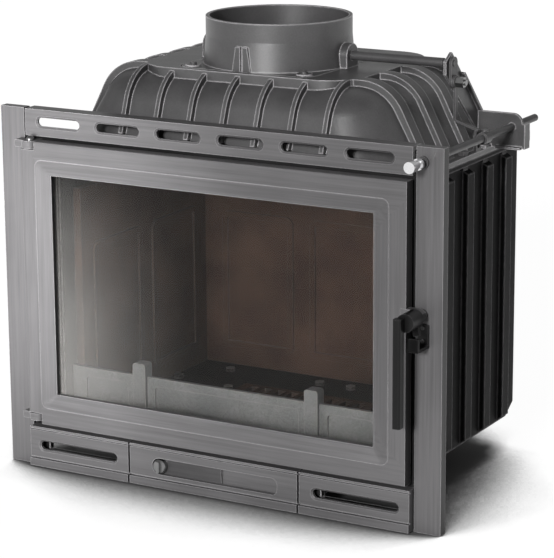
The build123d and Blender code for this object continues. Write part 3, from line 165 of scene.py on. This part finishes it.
def cast_material(name, dark, light, rough, gloss, grain, depth, wear_and_highlight_tone, edge=0.0016):
    """Cast iron or paint on it: fine grain in relief, slow changes of tone, brighter edges that are
    partly wear and partly a painted highlight.
    """
    material, tree, shader = new_material(name)
    tone = mix_colour(tree, ramp(tree, noise(tree, 9, 5, 0.6), 0, 1, 0.35, 0.65), dark, light)
    speck = ramp(tree, noise(tree, grain, 2, 0.6), 0.82, 1.18, 0.3, 0.7)
    tone = mix_colour(tree, 1.0, tone, speck, "MULTIPLY")
    patchy = ramp(tree, noise(tree, 60, 4, 0.7), 0.6, 1, 0.35, 0.7)
    # Wear and painted highlight: sharp edges are lightened, patchily, towards a pale tone
    wear_and_highlight_amount = maths(tree, "MULTIPLY", sharp_edge_mask(tree, edge), patchy)
    tone = mix_colour(tree, wear_and_highlight_amount, tone, wear_and_highlight_tone)
    tree.links.new(tone, shader.inputs["Base Color"])
    dullness = ramp(tree, noise(tree, 25, 4, 0.6), rough - 0.06, rough + 0.08)
    tree.links.new(dullness, shader.inputs["Roughness"])
    shader.inputs["Specular IOR Level"].default_value = gloss
    add_bump(tree, shader, noise(tree, grain, 3, 0.65), 0.6, depth)
    return material


def streaks(tree, along):
    """Fine streaks of a ground surface that run along one axis."""
    stretch = [1, 1, 1]
    stretch["XYZ".index(along)] = STREAK_STRETCH
    return noise(tree, STREAK_SCALE, 4, 0.7, stretch)


def rail_mask(tree, box):
    """0 on the rails along a frame's top and bottom and 1 on its upright stiles, parted on the mitres."""
    low, high = box
    place = add_node(tree, "SeparateXYZ", {"Vector": object_place(tree)})
    reach = []
    for axis, near, far in (("X", low[0], high[0]), ("Z", low[2], high[2])):
        middle = (near + far) / 2
        offset = maths(tree, "ABSOLUTE", maths(tree, "SUBTRACT", place.outputs[axis], middle))
        reach.append(maths(tree, "SUBTRACT", (far - near) / 2, offset))
    return maths(tree, "LESS_THAN", reach[0], reach[1])


def painted_shade_sides(tree, tone):
    """Painted shade: the faces of a ground plate turned to the sides (±X) are painted near-black."""
    normal = add_node(tree, "TexCoord").outputs["Normal"]
    side = add_node(tree, "SeparateXYZ", {"Vector": normal}).outputs["X"]
    mask = maths(tree, "GREATER_THAN", maths(tree, "ABSOLUTE", side), SIDE_FACING)
    return mix_colour(tree, mask, tone, SIDE_SHADE_TONE)


def brushed_material(name, dark, light, streak_maker, sides=None):
    """Ground and clear-coated iron: fine streaks, slow changes of tone and painted highlights on its
    edges.
    """
    material, tree, shader = new_material(name)
    streak = streak_maker(tree)
    cloud = noise(tree, 5, 3, 0.5)
    blend = maths(tree, "ADD", maths(tree, "MULTIPLY", streak, 0.6), maths(tree, "MULTIPLY", cloud, 0.4))
    tone = mix_colour(tree, ramp(tree, blend, 0, 1, 0.35, 0.65), dark, light)
    # Painted shade on the faces turned to ±X
    if sides:
        tone = sides(tree, tone)
    # Painted highlight: sharp edges are lightened towards a pale grey
    edge_highlight = ramp(tree, sharp_edge_mask(tree, EDGE_HIGHLIGHT_RADIUS), 0, 0.75)
    tone = mix_colour(tree, edge_highlight, tone, EDGE_HIGHLIGHT_TONE)
    tree.links.new(tone, shader.inputs["Base Color"])
    tree.links.new(ramp(tree, streak, 0.36, 0.5, 0.3, 0.7), shader.inputs["Roughness"])
    shader.inputs["Metallic"].default_value = GROUND_METALLIC
    add_bump(tree, shader, streak, 0.4, 0.0002)
    return material


def metal_material(name, colour, rough, streak_stretch=(1, 1, 1)):
    """Bare or plated metal with faint streaks."""
    material, tree, shader = new_material(name)
    streak = noise(tree, 400, 3, 0.6, streak_stretch)
    tone = mix_colour(tree, streak, colour, [c * 0.8 for c in colour[:3]] + [1])
    tree.links.new(tone, shader.inputs["Base Color"])
    tree.links.new(ramp(tree, streak, rough * 0.7, rough * 1.3), shader.inputs["Roughness"])
    shader.inputs["Metallic"].default_value = 1.0
    add_bump(tree, shader, streak, 0.2, 0.0001)
    return material


def rope_material(name):
    """Woven glass fibre rope with slanting yarns."""
    material, tree, shader = new_material(name)
    wave = {"Vector": object_place(tree), "Scale": 160, "Distortion": 1.5}
    yarns = add_node(tree, "TexWave", wave, bands_direction="DIAGONAL").outputs["Fac"]
    tone = mix_colour(tree, yarns, (0.18, 0.17, 0.15, 1), (0.42, 0.4, 0.36, 1))
    tree.links.new(tone, shader.inputs["Base Color"])
    shader.inputs["Roughness"].default_value = 0.95
    add_bump(tree, shader, yarns, 0.8, 0.0006)
    return material


def glass_material(name, box):
    """Clear heat-resisting glass with a pale film, partly ash and partly a painted reflection, that
    thickens to the lower left.
    """
    material, tree, shader = new_material(name)
    low, high = box
    place = add_node(tree, "SeparateXYZ", {"Vector": object_place(tree)})
    across = ramp(tree, place.outputs["X"], 1, 0, low[0], low[0] + 0.5 * (high[0] - low[0]))
    upward = ramp(tree, place.outputs["Z"], 1, 0.05, low[2], high[2])
    cloud = ramp(tree, noise(tree, 14, 5, 0.6), 0.85, 1.15, 0.3, 0.7)
    sideways = maths(tree, "MULTIPLY", across, across)
    # Painted reflection and ash: a pale, hazier film, strongest at the lower left
    ash_and_reflection_film = maths(tree, "MULTIPLY", sideways, maths(tree, "MULTIPLY", upward, cloud))
    tree.links.new(ramp(tree, ash_and_reflection_film, 1.0, 0.88), shader.inputs["Transmission Weight"])
    tree.links.new(ramp(tree, ash_and_reflection_film, 0.01, 0.04), shader.inputs["Roughness"])
    shader.inputs["Base Color"].default_value = (0.93, 0.91, 0.88, 1)
    shader.inputs["IOR"].default_value = 1.2
    return material


SURROUND_TONES = (grey(0.1), grey(0.155))


def streaks_along_x(tree):
    return streaks(tree, "X")


def streaks_along_z(tree):
    return streaks(tree, "Z")


def streaks_of_frame(tree):
    mask = rail_mask(tree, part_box("door_frame"))
    across = maths(tree, "MULTIPLY", streaks(tree, "X"), maths(tree, "SUBTRACT", 1.0, mask))
    return maths(tree, "ADD", across, maths(tree, "MULTIPLY", streaks(tree, "Z"), mask))


rail_finish = brushed_material("rail_finish", *SURROUND_TONES, streaks_along_x)
strip_finish = brushed_material("strip_finish", *SURROUND_TONES, streaks_along_z, painted_shade_sides)
door_finish = brushed_material("door_finish", *SURROUND_TONES, streaks_of_frame, painted_shade_sides)
slider_finish = brushed_material("slider_finish", grey(0.06), grey(0.1), streaks_along_x)
body_iron = cast_material(
    "body_iron", grey(0.010), grey(0.019),
    rough=0.6, gloss=0.12, grain=700, depth=0.0004, wear_and_highlight_tone=grey(0.65), edge=0.004,
)
hood_iron = cast_material(
    "hood_iron", grey(0.046), grey(0.074),
    rough=0.36, gloss=0.8, grain=650, depth=0.0003, wear_and_highlight_tone=grey(0.6), edge=0.003,
)
# Reddish-brown tone: partly the iron's own colour and partly painted firelight
lining_iron = cast_material(
    "lining_iron", (0.045, 0.026, 0.02, 1), (0.09, 0.056, 0.042, 1),
    rough=0.8, gloss=0.2, grain=420, depth=0.0008, wear_and_highlight_tone=grey(0.12),
)
# A light tone, raised to stand in for the light the glass keeps from the guard: partly its own colour and
# partly painted light
guard_iron = cast_material(
    "guard_iron", (0.17, 0.18, 0.195, 1), (0.24, 0.25, 0.265, 1),
    rough=0.5, gloss=0.5, grain=420, depth=0.0003, wear_and_highlight_tone=grey(0.45),
)
handle_paint = cast_material(
    "handle_paint", grey(0.005), grey(0.009),
    rough=0.3, gloss=0.2, grain=900, depth=0.0001, wear_and_highlight_tone=grey(0.05),
)
dark_steel = cast_material(
    "dark_steel", grey(0.045), grey(0.07),
    rough=0.38, gloss=0.5, grain=900, depth=0.0002, wear_and_highlight_tone=grey(0.2),
)
plated_steel = metal_material("plated_steel", (0.55, 0.55, 0.54, 1), 0.3)
pan_steel = metal_material("pan_steel", (0.3, 0.3, 0.31, 1), 0.42, (1, 0.05, 1))
knob_steel = metal_material("knob_steel", (0.3, 0.3, 0.3, 1), 0.35)
chrome = metal_material("chrome", (0.82, 0.82, 0.83, 1), 0.12)
rope = rope_material("rope")
glass = glass_material("glass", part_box("door_glass"))

FINISHES = {
    "surround_grey": rail_finish,
    "body_black": body_iron,
    "hood_grey": hood_iron,
    "lining_iron": lining_iron,
    "guard_grey": guard_iron,
    "handle_black": handle_paint,
    "plated_steel": plated_steel,
    "dark_steel": dark_steel,
    "chrome": chrome,
    "glass": glass,
    "rope": rope,
    "pan_steel": pan_steel,
}
SPECIAL = {
    "left_trim": strip_finish,
    "right_trim": strip_finish,
    "door_frame": door_finish,
    "air_slider": slider_finish,
    "slider_knob": knob_steel,
    "hinge_pins": knob_steel,
    "damper_nuts": knob_steel,
    "lever_bolt": knob_steel,
}

# Every CAD node gets its finish, and the sharp edges of the large castings a small round
FLAT_ANGLE = 0.5
SHARP_ANGLE = 35
ROUND_SEGMENTS = 2
ROUNDING = {
    "hood": 0.0022,
    "left_side_wall": 0.0016,
    "right_side_wall": 0.0016,
    "rear_wall": 0.0016,
    "flue_collar": 0.0012,
    "door_frame": 0.0012,
    "left_trim": 0.0012,
    "right_trim": 0.0012,
    "top_grille": 0.0009,
    "lower_left_grille": 0.0005,
    "lower_right_grille": 0.0005,
    "ash_front": 0.0005,
    "log_guard": 0.0015,
}


def round_edges(piece, width):
    flatten = piece.modifiers.new("flatten", "DECIMATE")
    flatten.decimate_type = "DISSOLVE"
    flatten.angle_limit = math.radians(FLAT_ANGLE)
    bevel = piece.modifiers.new("round", "BEVEL")
    bevel.width = width
    bevel.segments = ROUND_SEGMENTS
    bevel.limit_method = "ANGLE"
    bevel.angle_limit = math.radians(SHARP_ANGLE)


# The surround, the door, the front of the drawer and the glass: the key lamp lights these alone
front_pieces = bpy.data.collections.new("front_pieces")
for part in frame["record"]["subparts"]:
    name = part["node"]
    piece = nodes[name]
    if part["material_slot"] in ("surround_grey", "glass"):
        front_pieces.objects.link(piece)
    piece.data.materials.clear()
    piece.data.materials.append(SPECIAL.get(name, FINISHES[part["material_slot"]]))
    if name in ROUNDING:
        round_edges(piece, ROUNDING[name])


# Lugs of the hinge blocks, which reach over the left strip and which the solids lack
LUG_REACH = 0.0125
LUG_DEPTH = 0.014
LUG_CORNER = 0.003
LUG_HEIGHT = 0.0105
LUG_EDGE_ROUND = 0.0008
CORNER_STEPS = 4


def hinge_lug(name, right, front, bottom):
    """A short lug, rounded at its free end, with its back on the strip."""
    outline = [(right, bottom), (right, bottom + LUG_HEIGHT)]
    for quarter in (1, 2):
        centre_x = right - LUG_REACH + LUG_CORNER
        centre_z = bottom + (LUG_HEIGHT - LUG_CORNER if quarter == 1 else LUG_CORNER)
        for step in range(CORNER_STEPS + 1):
            turn = math.radians(90 * (quarter + step / CORNER_STEPS))
            corner_x = centre_x + LUG_CORNER * math.cos(turn)
            outline.append((corner_x, centre_z + LUG_CORNER * math.sin(turn)))
    count = len(outline)
    corners = [(x, y, z) for y in (front, front + LUG_DEPTH) for x, z in outline]
    faces = [list(range(count)), list(range(2 * count - 1, count - 1, -1))]
    for start in range(count):
        end = (start + 1) % count
        faces.append([end, start, start + count, end + count])
    mesh = bpy.data.meshes.new(name)
    mesh.from_pydata(corners, [], faces)
    mesh.materials.append(rail_finish)
    lug = bpy.data.objects.new(name, mesh)
    bpy.context.scene.collection.objects.link(lug)
    front_pieces.objects.link(lug)
    round_edges(lug, LUG_EDGE_ROUND)
    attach(lug, "insert")


blocks_low, blocks_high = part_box("hinge_blocks")
lug_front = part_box("left_trim")[0][1] - LUG_DEPTH
hinge_lug("lower_hinge_lug", blocks_low[0], lug_front, blocks_low[2])
hinge_lug("upper_hinge_lug", blocks_low[0], lug_front, blocks_high[2] - LUG_HEIGHT)


# Stage: pale floor with a painted shadow, white surroundings, soft lamps
def seen_directly(tree):
    """1 for the camera, reflections and clear glass, and 0 where the light falls on a matt face."""
    path = add_node(tree, "LightPath")
    clear = maths(tree, "MAXIMUM", path.outputs["Is Glossy Ray"], path.outputs["Is Transmission Ray"])
    return maths(tree, "MAXIMUM", path.outputs["Is Camera Ray"], clear)


FLOOR_SIZE = 30.0
FLOOR_DROP = 0.0005
FLOOR_LEVEL = 0.14
FLOOR_BRIGHTNESS = 0.95
SHADE_SIDE = (-0.6, -0.55, 0.58)
SHADE_REACH = 0.35
SHADE_RANGE = (0.47, 0.68)
SHADE_DEPTH = 2.0
floor_mesh = bpy.data.meshes.new("floor")
floor_form = bmesh.new()
bmesh.ops.create_grid(floor_form, x_segments=2, y_segments=2, size=FLOOR_SIZE / 2)
floor_form.to_mesh(floor_mesh)
floor_form.free()
floor = bpy.data.objects.new("floor", floor_mesh)
bpy.context.scene.collection.objects.link(floor)
floor.location = (0, 0, -FLOOR_DROP)
floor_paint, floor_tree, floor_shader = new_material("floor_paint")
floor_shader.inputs["Base Color"].default_value = (FLOOR_LEVEL, FLOOR_LEVEL, FLOOR_LEVEL, 1)
floor_shader.inputs["Roughness"].default_value = 0.9
floor_shader.inputs["Specular IOR Level"].default_value = 0.1
floor_shader.inputs["Emission Color"].default_value = (1, 1, 1, 1)
# Painted shadow: the floor's glow fades where the object hides the hemisphere leaning to the front left,
# so a shadow falls to its right and beneath it
painted_shadow_hemisphere = {"Distance": SHADE_REACH, "Normal": SHADE_SIDE}
openness = add_node(floor_tree, "AmbientOcclusion", painted_shadow_hemisphere, samples=16).outputs["AO"]
openness = ramp(floor_tree, openness, 0, 1, *SHADE_RANGE)
floor_share = ramp(floor_tree, seen_directly(floor_tree), 0, FLOOR_BRIGHTNESS)
shade = maths(floor_tree, "POWER", openness, SHADE_DEPTH)
floor_glow = maths(floor_tree, "MULTIPLY", floor_share, shade)
floor_tree.links.new(floor_glow, floor_shader.inputs["Emission Strength"])
floor_mesh.materials.append(floor_paint)

# Surroundings: white to the camera and through the glass, paler low down, dimmer to the rear
REFLECTED_FRONT = 0.6
REFLECTED_REAR = 0.12
DIFFUSE_SHARE = 0.12
world = bpy.data.worlds.new("world")
bpy.context.scene.world = world
world.use_nodes = True
sky = world.node_tree
sky.nodes.clear()
sky_place = add_node(sky, "TexCoord")
sky_way = add_node(sky, "SeparateXYZ", {"Vector": sky_place.outputs["Generated"]})
sky_level = ramp(sky, sky_way.outputs["Z"], 1.0, 0.35, 0.15, 0.9)
sky_front = ramp(sky, sky_way.outputs["Y"], REFLECTED_FRONT, REFLECTED_REAR, -0.4, 0.6)
sky_path = add_node(sky, "LightPath")
sky_glossy = mix_numbers(sky, sky_path.outputs["Is Glossy Ray"], DIFFUSE_SHARE, sky_front)
sky_share = maths(sky, "MAXIMUM", sky_glossy, sky_path.outputs["Is Camera Ray"])
sky_share = maths(sky, "MAXIMUM", sky_share, sky_path.outputs["Is Transmission Ray"])
sky_strength = maths(sky, "MULTIPLY", sky_level, sky_share)
background = add_node(sky, "Background", {"Color": (1, 1, 1, 1), "Strength": sky_strength})
sky_output = add_node(sky, "OutputWorld")
sky.links.new(background.outputs["Background"], sky_output.inputs["Surface"])


def soft_box(name, place, target, size, spread, power):
    """A tall studio lamp that lights the front pieces only and isn't seen in or through the glass."""
    data = bpy.data.lights.new(name, "AREA")
    data.shape = "RECTANGLE"
    data.size, data.size_y = size
    data.spread = math.radians(spread)
    data.energy = power
    lamp = bpy.data.objects.new(name, data)
    lamp.visible_glossy = False
    lamp.visible_transmission = False
    lamp.light_linking.receiver_collection = front_pieces
    lamp.location = place
    lamp.rotation_euler = (Vector(target) - Vector(place)).to_track_quat("-Z", "Y").to_euler()
    bpy.context.scene.collection.objects.link(lamp)


def soft_sun(name, place, level, spread):
    """A far lamp that lights a matt face turned to it to the given level."""
    data = bpy.data.lights.new(name, "SUN")
    data.energy = level * math.pi
    data.angle = math.radians(spread)
    lamp = bpy.data.objects.new(name, data)
    lamp.rotation_euler = (-Vector(place)).to_track_quat("-Z", "Y").to_euler()
    bpy.context.scene.collection.objects.link(lamp)


soft_sun("front", place=(0.12, -1.0, 0.3), level=1.0, spread=12)
soft_sun("back", place=(0.2, 1.0, 0.35), level=0.25, spread=120)
soft_box(
    "key", place=(-0.36, -1.0, 0.3), target=(-0.24, -0.17, 0.33), size=(0.12, 0.42), spread=44, power=1.6
)
